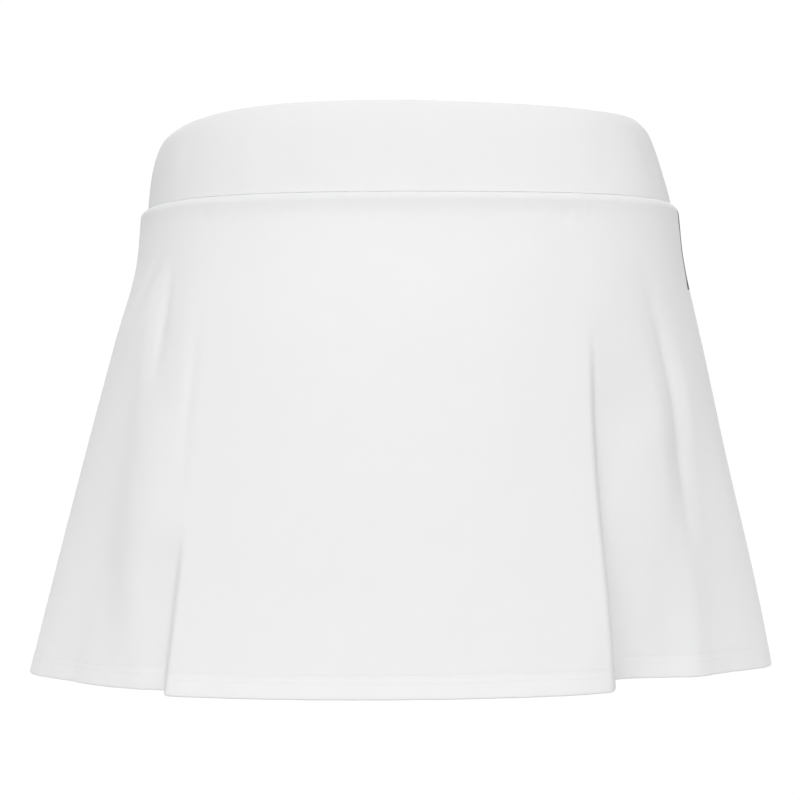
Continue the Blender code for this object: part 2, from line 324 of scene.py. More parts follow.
def cloth_push(bearing, drop):
    """Inward and sideways push of all folds and creases, with the folds' edges softened."""
    inward, sideways = crease_push(bearing, drop), np.zeros_like(bearing)
    for nudge, weight in SOFTENING:
        fold_inward, fold_sideways = fold_push(bearing + FOLD_SOFTNESS * nudge, drop)
        inward += weight * fold_inward
        sideways += weight * fold_sideways
    return inward, sideways


def sag(turn, drop):
    """How far a level dips below its drop towards the sides."""
    sine = np.sin(turn)

    def dip(sides):
        left, right = sides["left"], sides["right"]
        return np.where(sine < 0, left.depth * abs(sine) ** left.sharpness,
                        right.depth * abs(sine) ** right.sharpness)

    if drop < 0:
        share = -drop / WAISTBAND_HEIGHT
        return share * dip(RIM_SAG) + (1 - share) * dip(SEAM_SAG)
    return (1 - drop / SKIRT_LENGTH) * dip(SEAM_SAG)


def oval(bearing, drop):
    """Points of the plain oval at a drop, and the level directions that point out of it."""
    turn = np.radians(bearing)
    sine, cosine = np.sin(turn), np.cos(turn)
    half_x = np.where(sine > 0, size_at(drop, "right"), size_at(drop, "left"))
    half_y = np.where(cosine > 0, size_at(drop, "front"), size_at(drop, "back"))
    corner = np.where((sine > 0) & (cosine > 0), size_at(drop, "right_corner"), 0)
    swell = 1 + corner * np.sin(2 * turn) ** 2
    points = np.stack([half_x * sine * swell, -half_y * cosine * swell,
                       -drop - sag(turn, drop) - WAISTBAND_HEIGHT / 2], axis=-1)
    out = np.stack([sine / half_x, -cosine / half_y, 0 * sine], axis=-1)
    return points, out / np.linalg.norm(out, axis=-1, keepdims=True)


def level_ring(bearing, drop, proud):
    """The oval at a drop, moved out level by a number of millimetres."""
    points, out = oval(bearing, drop)
    return points + out * proud


def skirt_face(bearing, drop, proud=ROLL_PROUD):
    """The skirt's outer face below its rolled top, with all its folds and creases."""
    points, out = oval(bearing, drop)
    inward, sideways = cloth_push(bearing, drop)
    aside = np.stack([-out[..., 1], out[..., 0], 0 * inward], axis=-1)
    points = points + out * (proud - inward)[..., None] + aside * sideways[..., None]
    turn = np.radians(bearing)
    points[..., 2] += FOLD_RISE * inward + HEM_TILT * np.sin(turn) * drop / SKIRT_LENGTH
    return points


def skirt_outward(bearing, drop):
    """Unit vectors that point away from the skirt's outer face."""
    across = skirt_face(bearing + ROUND_STEP, drop) - skirt_face(bearing - ROUND_STEP, drop)
    down = skirt_face(bearing, drop + DOWN_STEP) - skirt_face(bearing, drop - DOWN_STEP)
    normal = np.cross(down, across)
    return normal / np.linalg.norm(normal, axis=-1, keepdims=True)


def rolled_row(bearing, share, inside):
    """A row of the rolled top: share 0 at the waist seam, 1 where the roll ends, inside the face."""
    turn = share * math.pi / 2
    drop = SEAM_DROP + ROLL_HEIGHT - (ROLL_HEIGHT - inside) * math.cos(turn)
    proud = (ROLL_START + ROLL_PROUD - inside) * math.sin(turn) - ROLL_START
    return skirt_face(bearing, drop, proud)


def hung_row(bearing, drop, inside):
    """A row of the skirt below its rolled top, inside the outer face."""
    depth = np.asarray(inside)[..., None]
    return skirt_face(bearing, drop) - skirt_outward(bearing, drop) * depth


# How the skirt's own allowance turns in at the waist seam and hangs behind the roll, and how the
# hem is made: the doubled cloth stands a little proud, with two rows of needle holes pressed in.
ALLOWANCE_LENGTH = 8.0
ALLOWANCE_TURN = 0.45
ALLOWANCE_ROWS = 5
ALLOWANCE_TURN_STEPS = (36, 72)
TURNING_TUCK = 0.5
SKIRT_ALLOWANCE_PROUD = -ROLL_START - ALLOWANCE_TURN
ROLL_ROWS = 9
HEM_PROUD = 0.14
HEM_STEP = 1.2
HEM_LAYER_GAP = 0.12
HEM_TURN_ROWS = 6
HEM_CUT_DROP = HEM_TOP - 0.4
HEM_INNER_ROWS = 7
NEEDLE_DROPS = (HEM_TOP + 0.9, HEM_TOP + 4.1)
NEEDLE_DENT = 0.06
NEEDLE_HALF_WIDTH = 0.9
# The rows are close together from just above the hem's top to just below its needle rows.
CLOSE_ROWS_ABOVE = 2.0
CLOSE_ROWS_BELOW = 5.5
CLOSE_ROW_SPACING = 0.45
LOWER_ROWS_BELOW = 6.2
LOWER_ROWS = 6
# The hem's cut edge lies against the single cloth, from this far below the hem's top.
HEM_EDGE_DEPTH = 3
# The hem's inner layer passes over the side seam's allowance, which lies towards the back.
HEM_BUMP = 1.7
HEM_BUMP_SHIFT = 1.3
HEM_BUMP_HALF_WIDTH = 5.0
HEM_BUMP_END = 1.5
HEM_BUMP_RISE = 6
HIDDEN = -1.0

# A row of cloth: a function of bearings that gives its points, how far it is an inner layer's
# row (which turns in less at the side seams), and its drop for the finish, or HIDDEN.
ClothRow = namedtuple("ClothRow", "place tuck drop")


def level_row(drop, proud, tuck, finish_drop=HIDDEN):
    """A row on the plain oval, moved out level."""
    return ClothRow(lambda bearing: level_ring(bearing, drop, proud), tuck, finish_drop)


def face_row(drop, inside, tuck):
    """A row inside the skirt's outer face."""
    return ClothRow(lambda bearing: hung_row(bearing, drop, inside), tuck, drop)


def hem_surface(drop):
    """How far the doubled hem stands proud of the single cloth, with its stitched dents."""
    grown = np.clip((drop - HEM_TOP + HEM_STEP / 2) / HEM_STEP, 0, 1)
    proud = HEM_PROUD * grown * grown * (3 - 2 * grown)
    for needle in NEEDLE_DROPS:
        near = np.clip(abs(drop - needle) / NEEDLE_HALF_WIDTH, 0, 1)
        proud -= NEEDLE_DENT * math.cos(math.pi * near / 2) ** 2
    return proud


def hem_bump(bearing, drop):
    """How far the hem's inner layer is lifted off by the allowances of the side seams."""
    lifted = np.zeros_like(bearing)
    for seam, towards_back in ((SIDE_SEAM_BEARING, 1), (-SIDE_SEAM_BEARING, -1)):
        middle = seam + towards_back * HEM_BUMP_SHIFT
        across = across_fold(bearing, middle, HEM_BUMP_HALF_WIDTH, HEM_BUMP_HALF_WIDTH)
        lifted += np.cos(math.pi * across / 2) ** 2
    above_hem = np.clip((SKIRT_LENGTH - HEM_BUMP_END - drop) / HEM_BUMP_RISE, 0, 1)
    return HEM_BUMP * lifted * above_hem


def skirt_rows():
    """Rows of a panel's middle layer: from its cut edge at the waist over the roll, down to the
    hem, round the hem's fold and up to its cut edge."""
    half = KNIT_THICKNESS / 2
    rows = []
    turn_drop = SEAM_DROP + half + ALLOWANCE_TURN
    for drop in np.linspace(ALLOWANCE_LENGTH, turn_drop, ALLOWANCE_ROWS):
        rows.append(level_row(drop, SKIRT_ALLOWANCE_PROUD, 1))
    for turn in np.radians(ALLOWANCE_TURN_STEPS):
        drop = SEAM_DROP + half + ALLOWANCE_TURN * (1 - math.sin(turn))
        proud = -ROLL_START - ALLOWANCE_TURN * math.cos(turn)
        rows.append(level_row(drop, proud, TURNING_TUCK))
    for share in np.linspace(0, 1, ROLL_ROWS):
        drop = SEAM_DROP + ROLL_HEIGHT * (1 - math.cos(share * math.pi / 2))
        rows.append(ClothRow(lambda b, s=share: rolled_row(b, s, half), 0, drop))

    roll_end, plain_end = SEAM_DROP + ROLL_HEIGHT, HEM_TOP - CLOSE_ROWS_ABOVE
    hem_bottom = SKIRT_LENGTH - KNIT_THICKNESS - HEM_LAYER_GAP / 2
    steps = round((plain_end - roll_end) / ROW_SPACING)
    plain = np.linspace(roll_end, plain_end, steps + 1)[1:]
    close = np.arange(plain_end + CLOSE_ROW_SPACING, HEM_TOP + CLOSE_ROWS_BELOW,
                      CLOSE_ROW_SPACING)
    lower = np.linspace(HEM_TOP + LOWER_ROWS_BELOW, hem_bottom, LOWER_ROWS)
    for drop in (*plain, *close, *lower):
        inside = half - hem_surface(drop)
        rows.append(face_row(drop, inside, 0))

    turn_radius = (KNIT_THICKNESS + HEM_LAYER_GAP) / 2
    for turn in np.linspace(0, math.pi, HEM_TURN_ROWS + 1)[1:]:
        drop = hem_bottom + turn_radius * math.sin(turn)
        inside = half - HEM_PROUD + turn_radius * (1 - math.cos(turn))
        rows.append(face_row(drop, inside, turn / math.pi))
    for drop in np.linspace(hem_bottom, HEM_CUT_DROP, HEM_INNER_ROWS + 1)[1:]:
        near_edge = np.clip((HEM_TOP + HEM_EDGE_DEPTH - drop) / HEM_EDGE_DEPTH, 0, 1)
        inside = half - HEM_PROUD + 2 * turn_radius + HEM_PROUD * near_edge * near_edge
        rows.append(ClothRow(lambda b, d=drop, i=inside: hung_row(b, d, i + hem_bump(b, d)),
                             1, drop))
    return rows


def even_bearings(first, last, columns):
    """Bearings that are close together where the hem turns and further apart where it is flat."""
    fine = np.linspace(first, last, FINE_BEARINGS)
    points = skirt_face(fine, SKIRT_LENGTH - HEM_RIPPLE_REACH)[:, :2]
    steps = np.diff(points, axis=0)
    heading = np.unwrap(np.arctan2(steps[:, 1], steps[:, 0]))
    turning = np.abs(np.diff(heading, append=heading[-1]))
    cost = np.hypot(steps[:, 0], steps[:, 1]) + TURN_LENGTH * turning
    travelled = np.concatenate(([0], np.cumsum(cost)))
    return np.interp(np.linspace(0, travelled[-1], columns), travelled, fine)


# How an outer and an inner layer turn in at a side seam, from the seam into the panel: the
# distance from the seam, and how far the cloth lies inside its row there.
Turn = namedtuple("Turn", "away inside")
SKIRT_OUTER_TURN = (Turn(0.40, 1.70), Turn(0.40, 1.20), Turn(0.42, 0.78), Turn(0.52, 0.42),
                    Turn(0.72, 0.17), Turn(1.10, 0.03))
SKIRT_INNER_TURN = (Turn(1.20, 0.60), Turn(1.22, 0.48), Turn(1.28, 0.32), Turn(1.40, 0.18),
                    Turn(1.60, 0.08), Turn(1.85, 0.02))
EDGE_STEP = 0.2
SHARP_EDGE = math.radians(60)


def turned_in(row, bearings, first, last, outer_turn, inner_turn):
    """One row of a panel from seam to seam, with the cloth turned in at both seams."""
    outer, inner = np.array(outer_turn), np.array(inner_turn)
    away, inside = (outer + row.tuck * (inner - outer)).T
    ends = []
    for seam, side in ((first, 1), (last, -1)):
        span = row.place(seam + ONE_DEGREE)
        turned = seam + side * away / np.linalg.norm(span[1] - span[0])
        along = row.place(turned + EDGE_STEP) - row.place(turned - EDGE_STEP)
        out = np.stack([along[:, 1], -along[:, 0], 0 * along[:, 0]], axis=-1)
        out /= np.linalg.norm(out, axis=-1, keepdims=True)
        ends.append(row.place(turned) - out * inside[:, None])
    return np.concatenate([ends[0], row.place(bearings), ends[1][::-1]])


def flat_coordinates(points):
    """Flat cloth coordinates in metres: across from the panel's middle, and down from its top."""
    across = np.linalg.norm(np.diff(points, axis=1), axis=-1).cumsum(axis=1)
    across = np.concatenate([np.zeros((len(points), 1)), across], axis=1)
    across -= across[:, across.shape[1] // 2][:, None]
    down = np.linalg.norm(np.diff(points, axis=0), axis=-1).cumsum(axis=0)
    down = np.concatenate([np.zeros((1, points.shape[1])), down], axis=0)
    return np.stack([across, down], axis=-1) * MM


def settled(piece):
    """The piece with its modifiers made part of its mesh, and shaded smooth."""
    graph = bpy.context.evaluated_depsgraph_get()
    mesh = bpy.data.meshes.new_from_object(piece.evaluated_get(graph), depsgraph=graph)
    mesh.name = piece.name
    piece.modifiers.clear()
    piece.data = mesh
    mesh.shade_smooth()
    return piece


def cloth_piece(name, points, drops, thickness, right_side, wrong_side):
    """A sheet of rows and columns of points with a thickness, and a material on each side."""
    row_count, column_count = points.shape[:2]
    corner = np.arange(row_count * column_count).reshape(row_count, column_count)
    faces = np.stack([corner[:-1, :-1], corner[1:, :-1], corner[1:, 1:], corner[:-1, 1:]], axis=-1)
    mesh = bpy.data.meshes.new(name)
    mesh.from_pydata((MM * points).reshape(-1, 3).tolist(), [], faces.reshape(-1, 4).tolist())
    flat = flat_coordinates(points)
    seen_at = np.zeros(len(mesh.loops), np.int32)
    mesh.loops.foreach_get("vertex_index", seen_at)
    uv = mesh.uv_layers.new(name="cloth")
    uv.data.foreach_set("uv", flat.reshape(-1, 2)[seen_at].astype(np.float32).ravel())
    drop_layer = mesh.attributes.new("drop", "FLOAT", "POINT")
    drop_layer.data.foreach_set("value", np.repeat(MM * drops, column_count).astype(np.float32))
    from_right = flat[:, -1, :1] - flat[:, :, 0]
    right_layer = mesh.attributes.new("from_right_edge", "FLOAT", "POINT")
    right_layer.data.foreach_set("value", from_right.astype(np.float32).ravel())
    mesh.materials.append(right_side)
    mesh.materials.append(wrong_side)
    cloth = bpy.data.objects.new(name, mesh)
    bpy.context.scene.collection.objects.link(cloth)
    shell = cloth.modifiers.new("thickness", "SOLIDIFY")
    shell.thickness = MM * thickness
    shell.offset = 0
    shell.material_offset = 1
    settled(cloth).data.set_sharp_from_angle(angle=SHARP_EDGE)
    return cloth


SINGLE_WHITE = (0.855, 0.855, 0.860, 1)
DOUBLED_WHITE = (0.858, 0.858, 0.862, 1)
BAND_WHITE = (0.834, 0.834, 0.839, 1)
# Painted shade between the knit's loops: the colour falls to this share of the white where the
# loops' relief is lowest.
LOOP_PAINTED_SHADE = 0.96
WALE_PITCH = 0.00085
COURSE_PITCH = 0.00062
LOOP_SLANT = 1.7
LOOP_CROSSING = 0.22
LOOP_RELIEF = 0.00008
LOOP_STRENGTH = 0.6
SOFT_SCALE = 38.0
SOFT_SHADE = 0.012
SOFT_RELIEF = 0.0005
SOFT_STRENGTH = 0.5
FUZZ_SCALE = 2600.0
FUZZ_SHADE = 0.016
KNIT_ROUGHNESS = 0.82
ROUGHNESS_SPREAD = 0.1
KNIT_SPECULAR = 0.25
KNIT_SHEEN = 0.06
KNIT_SHEEN_ROUGHNESS = 0.5
KNIT_SCATTER = 0.5
KNIT_SCATTER_REACH = 0.0025
DOUBLED_EDGE = 0.0004
# A plain dark strip printed on the right of the front panel, just ahead of the side seam.
STRIP_GREY = (0.055, 0.055, 0.06, 1)
STRIP_TOP = 0.0015
STRIP_LENGTH = 0.050
STRIP_FROM_SEAM = 0.0225
STRIP_WIDTH = 0.015
STRIP_SLANT = 0.14
STRIP_EDGE = 0.0003


def smooth_knit(name, white, doubled_from=None, strip=False):
    """White smooth knit: fine columns of V-shaped loops with painted shade between their legs, a
    soft unevenness and a faint sheen.
    Below doubled_from it is doubled, so it is whiter and lets no light through, and a plain strip
    may be printed on it."""
    material = bpy.data.materials.new(name)
    material.use_nodes = True
    add = node_adder(material.node_tree)
    maths = maths_adder(add)
    links = material.node_tree.links
    shader = material.node_tree.nodes["Principled BSDF"]

    def attribute(layer):
        return add("ShaderNodeAttribute", {}, output="Fac", attribute_name=layer)

    def mixed(share, first, second):
        return add("ShaderNodeMix", {"Factor": share, 6: first, 7: second}, output=2,
                   data_type="RGBA")

    flat = add("ShaderNodeUVMap", {}, uv_map="cloth")
    across = add("ShaderNodeSeparateXYZ", {0: flat}, output="X")
    down = add("ShaderNodeSeparateXYZ", {0: flat}, output="Y")
    wale = maths("FRACT", maths("DIVIDE", across, WALE_PITCH))
    from_middle = maths("ABSOLUTE", maths("SUBTRACT", wale, 0.5))
    leg = maths("SINE", maths("MULTIPLY", from_middle, 2 * math.pi))
    course = maths("DIVIDE", down, COURSE_PITCH)
    slanted = maths("MULTIPLY_ADD", from_middle, LOOP_SLANT, course)
    loop = maths("SINE", maths("MULTIPLY", slanted, 2 * math.pi))
    crossing = maths("MULTIPLY_ADD", loop, LOOP_CROSSING, 1 - LOOP_CROSSING)
    relief = maths("MULTIPLY", leg, crossing)

    place = add("ShaderNodeTexCoord", {}, output="Object")
    softness = add("ShaderNodeTexNoise", {"Vector": place, "Scale": SOFT_SCALE, "Detail": 2.0})
    fuzz = add("ShaderNodeTexNoise", {"Vector": place, "Scale": FUZZ_SCALE, "Detail": 2.0})
    shade = maths("MULTIPLY_ADD", softness, SOFT_SHADE, 1 - SOFT_SHADE / 2)
    fuzzy = maths("MULTIPLY_ADD", fuzz, FUZZ_SHADE, 1 - FUZZ_SHADE / 2)
    # Painted shade: the colour darkens where the loops' relief is low, between their raised legs.
    painted_loop_shade = maths("MULTIPLY_ADD", relief, 1 - LOOP_PAINTED_SHADE, LOOP_PAINTED_SHADE)
    shade = maths("MULTIPLY", maths("MULTIPLY", shade, fuzzy), painted_loop_shade)

    colour = white
    if doubled_from is not None:
        drop = attribute("drop")
        doubled = add("ShaderNodeMapRange", {"Value": drop,
                                             "From Min": doubled_from - DOUBLED_EDGE,
                                             "From Max": doubled_from + DOUBLED_EDGE})
        colour = mixed(doubled, white, DOUBLED_WHITE)
        scatter = maths("MULTIPLY", maths("SUBTRACT", 1.0, doubled), KNIT_SCATTER)
        links.new(scatter, shader.inputs["Subsurface Weight"])
        shader.inputs["Subsurface Radius"].default_value = (1, 1, 1)
        shader.inputs["Subsurface Scale"].default_value = KNIT_SCATTER_REACH
    if strip:
        drop = attribute("drop")
        seam = maths("MULTIPLY_ADD", drop, STRIP_SLANT, attribute("from_right_edge"))
        upright = maths("MINIMUM", maths("SUBTRACT", drop, STRIP_TOP),
                        maths("SUBTRACT", STRIP_TOP + STRIP_LENGTH, drop))
        level = maths("MINIMUM", maths("SUBTRACT", seam, STRIP_FROM_SEAM),
                      maths("SUBTRACT", STRIP_FROM_SEAM + STRIP_WIDTH, seam))
        printed = add("ShaderNodeMapRange", {"Value": maths("MINIMUM", upright, level),
                                             "From Min": 0.0, "From Max": STRIP_EDGE})
        colour = mixed(printed, colour, STRIP_GREY)
    tone = add("ShaderNodeMix", {"Factor": 1.0, 6: colour, 7: shade}, output=2,
               data_type="RGBA", blend_type="MULTIPLY")
    links.new(tone, shader.inputs["Base Color"])
    rough = maths("MULTIPLY_ADD", fuzz, ROUGHNESS_SPREAD, KNIT_ROUGHNESS - ROUGHNESS_SPREAD / 2)
    links.new(rough, shader.inputs["Roughness"])
    soft_bump = add("ShaderNodeBump", {"Height": softness, "Distance": SOFT_RELIEF,
                                       "Strength": SOFT_STRENGTH})
    bump = add("ShaderNodeBump", {"Height": relief, "Distance": LOOP_RELIEF,
                                  "Strength": LOOP_STRENGTH, "Normal": soft_bump})
    links.new(bump, shader.inputs["Normal"])
    shader.inputs["Sheen Weight"].default_value = KNIT_SHEEN
    shader.inputs["Sheen Roughness"].default_value = KNIT_SHEEN_ROUGHNESS
    shader.inputs["Specular IOR Level"].default_value = KNIT_SPECULAR
    return material


# A panel's even columns begin this many degrees inside each side seam.
SKIRT_EDGE = 1.4


def skirt_panel(name, node, first, last, right_side, wrong_side):
    """One flared panel from side seam to side seam, standing for its solid."""
    rows = skirt_rows()
    bearings = even_bearings(first + SKIRT_EDGE, last - SKIRT_EDGE, SKIRT_COLUMNS)
    points = np.array([turned_in(row, bearings, first, last, SKIRT_OUTER_TURN, SKIRT_INNER_TURN)
                       for row in rows])
    drops = np.array([row.drop for row in rows])
    panel = cloth_piece(name, points, drops, KNIT_THICKNESS, right_side, wrong_side)
    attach(panel, "root")
    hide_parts(node)
    return panel


single_knit = smooth_knit("single_knit", SINGLE_WHITE, doubled_from=MM * HEM_TOP)
printed_knit = smooth_knit("printed_knit", SINGLE_WHITE, doubled_from=MM * HEM_TOP, strip=True)
front_panel = skirt_panel("front_panel", "skirt_front", -SIDE_SEAM_BEARING, SIDE_SEAM_BEARING,
                          printed_knit, single_knit)
back_panel = skirt_panel("back_panel", "skirt_back", SIDE_SEAM_BEARING, 360 - SIDE_SEAM_BEARING,
                         single_knit, single_knit)


# --------------------------------------------------
# The side seams: the panels' edges, sewn and overlocked together, make a double ribbon of cloth
# that lies inside the skirt, pressed towards the back, from the waist seam into the hem.
# --------------------------------------------------
RIBBON_THICKNESS = 1.4
RIBBON_TOP = 2.5
RIBBON_FOOT = 276.0
RIBBON_ROWS = 100
# The ribbon's cross-section: distance from the seam towards the back, and from the outer face.
RIBBON_SECTION = ((-1.2, 2.0), (-0.6, 2.4), (0.4, 2.5), (1.2, 2.2), (2.2, 1.8), (4.0, 1.6),
                  (6.0, 1.6), (8.0, 1.6))
THREAD_WHITE = (0.88, 0.88, 0.885, 1)
THREAD_SHADE = (0.80, 0.80, 0.81, 1)
THREAD_ROUGHNESS = 0.55
THREAD_SHEEN = 0.1
TWIST_SCALE = 5200.0
TWIST_RELIEF = 0.00005
TWIST_STRENGTH = 0.5
THREAD_SIDES = 5
THREAD_SMOOTHING = 3
SHORTEST_LOOP = 0.84
OVERLOCK_THREAD = 0.26
OVERLOCK_PITCH = 2.4
OVERLOCK_HALF_WIDTH = 2.2
OVERLOCK_PLACE = 5.9
OVERLOCK_INSIDE = 2.4
OVERLOCK_DROPS = np.arange(ALLOWANCE_LENGTH + 1, HEM_TOP - 3, 2.0)
OVERLOCK_SEED = 3


def sewing_thread():
    """White polyester thread, a little glossier than the knit, with a fine twist."""
    material = bpy.data.materials.new("sewing_thread")
    material.use_nodes = True
    add = node_adder(material.node_tree)
    links = material.node_tree.links
    shader = material.node_tree.nodes["Principled BSDF"]
    place = add("ShaderNodeTexCoord", {}, output="Object")
    twist = add("ShaderNodeTexNoise", {"Vector": place, "Scale": TWIST_SCALE, "Detail": 1.0})
    shade = add("ShaderNodeMix", {"Factor": twist, 6: THREAD_WHITE, 7: THREAD_SHADE}, output=2,
                data_type="RGBA")
    bump = add("ShaderNodeBump", {"Height": twist, "Distance": TWIST_RELIEF,
                                  "Strength": TWIST_STRENGTH})
    links.new(shade, shader.inputs["Base Color"])
    links.new(bump, shader.inputs["Normal"])
    shader.inputs["Roughness"].default_value = THREAD_ROUGHNESS
    shader.inputs["Sheen Weight"].default_value = THREAD_SHEEN
    return material


def sewing_tree(name, sizes):
    """A new tree with named inputs for its sizes, a function that adds its nodes, and the inputs'
    own outputs: the line that is sewn, each size, and the seed."""
    tree = bpy.data.node_groups.new(name, "GeometryNodeTree")
    tree.is_modifier = True
    sockets = tree.interface
    sockets.new_socket("Geometry", in_out="INPUT", socket_type="NodeSocketGeometry")
    for size in sizes:
        sockets.new_socket(size, in_out="INPUT", socket_type="NodeSocketFloat")
    sockets.new_socket("Seed", in_out="INPUT", socket_type="NodeSocketInt")
    sockets.new_socket("Thread", in_out="INPUT", socket_type="NodeSocketMaterial")
    sockets.new_socket("Geometry", in_out="OUTPUT", socket_type="NodeSocketGeometry")
    add = node_adder(tree)
    given = [add("NodeGroupInput", {}, output=name) for name in ("Geometry", *sizes, "Seed")]
    return tree, add, given


def end_sewing_tree(add, geometry):
    """The end of a sewing tree: its instances made real and given the thread's material."""
    smooth = add("GeometryNodeSetShadeSmooth", {0: geometry})
    real = add("GeometryNodeRealizeInstances", {"Geometry": smooth})
    thread = add("NodeGroupInput", {}, output="Thread")
    dressed = add("GeometryNodeSetMaterial", {"Geometry": real, "Material": thread})
    add("NodeGroupOutput", {"Geometry": dressed})


def looped_thread_tree():
    """Lays a thread in loops from side to side along a line, aside being half their width."""
    tree, add, (edges, pitch, thickness, seed) = sewing_tree("looped_thread",
                                                             ("Pitch", "Thickness"))
    maths = maths_adder(add)
    half_pitch = maths("MULTIPLY", pitch, 0.5)
    radius = maths("MULTIPLY", thickness, 0.5)
    line = add("GeometryNodeMeshToCurve", {0: edges})
    steps = add("GeometryNodeResampleCurve", {"Curve": line, "Length": half_pitch}, mode="LENGTH")
    odd = maths("MODULO", add("GeometryNodeInputIndex", {}), 2.0)
    side = maths("MULTIPLY_ADD", odd, 2.0, -1.0)
    uneven = add("FunctionNodeRandomValue", {2: SHORTEST_LOOP, 3: 1.0, 8: seed}, output=1,
                 data_type="FLOAT")
    reach = maths("MULTIPLY", side, uneven)
    aside = add("GeometryNodeInputNamedAttribute", {"Name": "aside"}, data_type="FLOAT_VECTOR")
    offset = add("ShaderNodeVectorMath", {0: aside, "Scale": reach}, operation="SCALE")
    loops = add("GeometryNodeSetPosition", {"Geometry": steps, "Offset": offset})
    soft = add("GeometryNodeCurveSplineType", {"Curve": loops}, spline_type="CATMULL_ROM")
    fine = add("GeometryNodeSetSplineResolution", {0: soft, "Resolution": THREAD_SMOOTHING})
    round_section = add("GeometryNodeCurvePrimitiveCircle", {"Resolution": THREAD_SIDES,
                                                             "Radius": radius})
    thread = add("GeometryNodeCurveToMesh", {"Curve": fine, "Profile Curve": round_section})
    end_sewing_tree(add, thread)
    return tree


def sewn(name, tree, points, slot, seed, aside=None, **sizes):
    """Thread that one of the sewing trees lays along a line of points, made a plain mesh."""
    mesh = bpy.data.meshes.new(name)
    edges = [(step, step + 1) for step in range(len(points) - 1)]
    mesh.from_pydata((MM * points).tolist(), edges, [])
    if aside is not None:
        layer = mesh.attributes.new("aside", "FLOAT_VECTOR", "POINT")
        layer.data.foreach_set("vector", (MM * aside).astype(np.float32).ravel())
    piece = bpy.data.objects.new(name, mesh)
    bpy.context.scene.collection.objects.link(piece)
    modifier = piece.modifiers.new("sewing", "NODES")
    modifier.node_group = tree
    given = {size: MM * value for size, value in sizes.items()}
    given.update(Seed=seed, Thread=white_thread)
    for socket in tree.interface.items_tree:
        if socket.name in given:
            modifier[socket.identifier] = given[socket.name]
    settled(piece)
    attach(piece, "root")
    return piece


def beside_seam(seam, to_back, drop, away, inside):
    """Points beside a side seam: a distance towards the back, and inside the outer face."""
    span = skirt_face(seam + ONE_DEGREE, drop)
    bearings = seam + to_back * np.asarray(away) / np.linalg.norm(span[1] - span[0])
    depth = np.asarray(inside)[..., None]
    return skirt_face(bearings, drop) - skirt_outward(bearings, drop) * depth


def side_seam(side, seam, to_back):
    """The ribbon of one side seam, and the overlock thread on its free edge."""
    away, inside = np.array(RIBBON_SECTION).T
    drops = np.linspace(RIBBON_TOP, RIBBON_FOOT, RIBBON_ROWS)
    points = np.array([beside_seam(seam, to_back, drop, away, inside) for drop in drops])
    ribbon = cloth_piece(side + "_seam_ribbon", points, drops, RIBBON_THICKNESS, ribbon_knit,
                         ribbon_knit)
    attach(ribbon, "root")
    reach = np.array([OVERLOCK_PLACE - OVERLOCK_HALF_WIDTH, OVERLOCK_PLACE,
                      OVERLOCK_PLACE + OVERLOCK_HALF_WIDTH])
    depth = np.full(3, OVERLOCK_INSIDE)
    lines = np.array([beside_seam(seam, to_back, drop, reach, depth) for drop in OVERLOCK_DROPS])
    thread = sewn(side + "_overlock", overlock, lines[:, 1], "skirt_knit", OVERLOCK_SEED,
                  (lines[:, 2] - lines[:, 0]) / 2, Pitch=OVERLOCK_PITCH,
                  Thickness=OVERLOCK_THREAD)
    return [ribbon, thread]


white_thread = sewing_thread()
ribbon_knit = smooth_knit("ribbon_knit", SINGLE_WHITE)
overlock = looped_thread_tree()
right_seam = side_seam("right", SIDE_SEAM_BEARING, 1)
left_seam = side_seam("left", -SIDE_SEAM_BEARING, -1)


# --------------------------------------------------
# The hem's coverstitch: two rows of short straight stitches outside, and inside a thread looped
# from side to side that covers the cloth's cut edge.
# --------------------------------------------------
STITCH_PITCH = 3.0
STITCH_GAP = 0.45
STITCH_THICKNESS = 0.34
STITCH_SUNK = -0.04
STITCH_REACH = (0.47, 0.52)
STITCH_SEGMENTS = 6
STITCH_RINGS = 5
STITCH_SEED = 7
LOOPER_DROP = HEM_TOP + 2.3
LOOPER_HALF_WIDTH = 2.5
LOOPER_PITCH = 3.0
LOOPER_THREAD = 0.30
LOOPER_SEED = 11
THREAD_OFF_CLOTH = 0.12
LOOPER_INSIDE = 2 * KNIT_THICKNESS + HEM_LAYER_GAP - HEM_PROUD + THREAD_OFF_CLOTH
HEM_LINE_POINTS = 700
HEM_LINE_END = 0.15


def needle_stitch_tree():
    """Lays short round stitches end to end along a line."""
    tree, add, (edges, pitch, gap, thickness, seed) = sewing_tree("needle_stitches",
                                                                  ("Pitch", "Gap", "Thickness"))
    maths = maths_adder(add)
    radius = maths("MULTIPLY", thickness, 0.5)
    shortest, longest = STITCH_REACH
    uneven = add("FunctionNodeRandomValue", {2: shortest, 3: longest, 8: seed}, output=1,
                 data_type="FLOAT")
    reach = maths("MULTIPLY", maths("SUBTRACT", pitch, gap), uneven)
    line = add("GeometryNodeMeshToCurve", {0: edges})
    places = add("GeometryNodeResampleCurve", {"Curve": line, "Length": pitch}, mode="LENGTH")
    tangent = add("GeometryNodeInputTangent", {})
    along = add("FunctionNodeAlignRotationToVector", {"Vector": tangent}, axis="Z")
    size = add("ShaderNodeCombineXYZ", {"X": radius, "Y": radius, "Z": reach})
    bead = add("GeometryNodeMeshUVSphere", {"Segments": STITCH_SEGMENTS, "Rings": STITCH_RINGS,
                                            "Radius": 1.0})
    row = add("GeometryNodeInstanceOnPoints", {"Points": places, "Instance": bead,
                                               "Rotation": along, "Scale": size})
    end_sewing_tree(add, row)
    return tree


